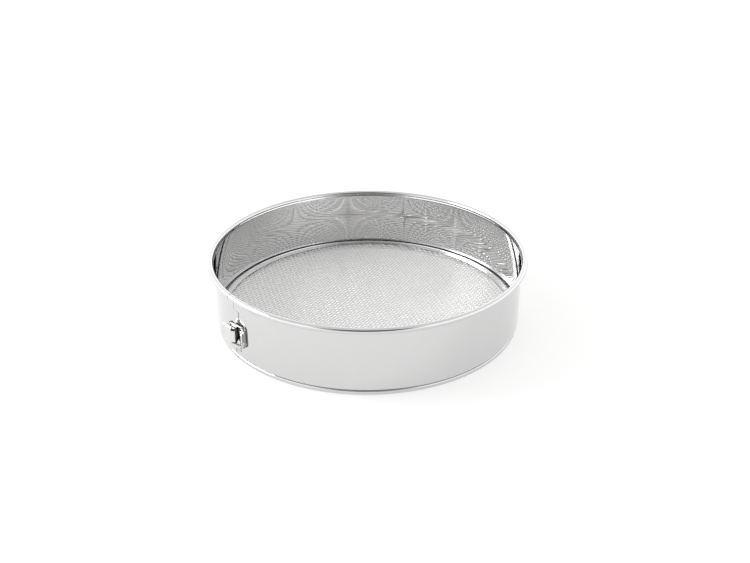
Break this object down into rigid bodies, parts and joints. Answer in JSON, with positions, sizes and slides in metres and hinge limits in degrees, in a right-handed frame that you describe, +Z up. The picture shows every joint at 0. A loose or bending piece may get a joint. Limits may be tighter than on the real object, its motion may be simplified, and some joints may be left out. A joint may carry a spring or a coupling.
{
  "type": "soil sieve",
  "caption": "Round hand sieve: a split steel band with a rolled rim, drawn tight by an over-centre clasp round a lift-out woven wire insert.",
  "frame": {"origin": "middle of the ring, on the surface the foot of the band stands on", "axes": "+Z up along the axis of the ring; the clasp is at the front, on -Y; +X is to the right of the clasp seen from the front"},
  "size_m": [0.2998, 0.3034, 0.0669],
  "materials": {
    "polished_band": "mirror-polished stainless steel sheet",
    "insert_steel": "bright stainless steel, pressed",
    "woven_wire": "woven stainless steel wire",
    "clasp_steel": "pressed stainless steel, tumbled",
    "wire_steel": "drawn steel wire"
  },
  "bodies": {
    "band": {"band_left": "polished_band", "rim_wire_left": "wire_steel", "clasp_bracket": "clasp_steel", "bracket_rivet_upper": "clasp_steel", "bracket_rivet_lower": "clasp_steel", "clasp_pin": "clasp_steel"},
    "band_end": {"band_right": "polished_band", "rim_wire_right": "wire_steel", "catch_plate": "clasp_steel", "catch_rivet_upper": "clasp_steel", "catch_rivet_lower": "clasp_steel"},
    "lever": {"lever": "clasp_steel"},
    "bail": {"bail": "wire_steel"},
    "insert": {"insert_top_ring": "insert_steel", "insert_bottom_ring": "insert_steel", "mesh_screen": "woven_wire"}
  },
  "joints": [
    {"name": "lever_swing", "type": "hinge", "parent": "band", "child": "lever", "pos_m": [0.006, -0.1493, 0.029], "axis": [0, 0, 1], "range_deg": [0, 140]},
    {"name": "bail_swing", "type": "hinge", "parent": "lever", "child": "bail", "pos_m": [0, -0.1488, 0.029], "axis": [0, 0, 1], "range_deg": [-196, 0]},
    {"name": "band_opening", "type": "hinge", "parent": "band", "child": "band_end", "pos_m": [0, 0.15, 0.0335], "axis": [0, 0, 1], "range_deg": [0, 1.87]},
    {"name": "insert_lift", "type": "slide", "parent": "band", "child": "insert", "axis": [0, 0, 1], "range_m": [0, 0.075]}
  ],
  "couplings": [
    {"joint": "bail_swing", "follows": "lever_swing", "ratio": -1.4},
    {"joint": "band_opening", "follows": "lever_swing", "ratio": 0.013333}
  ]
}
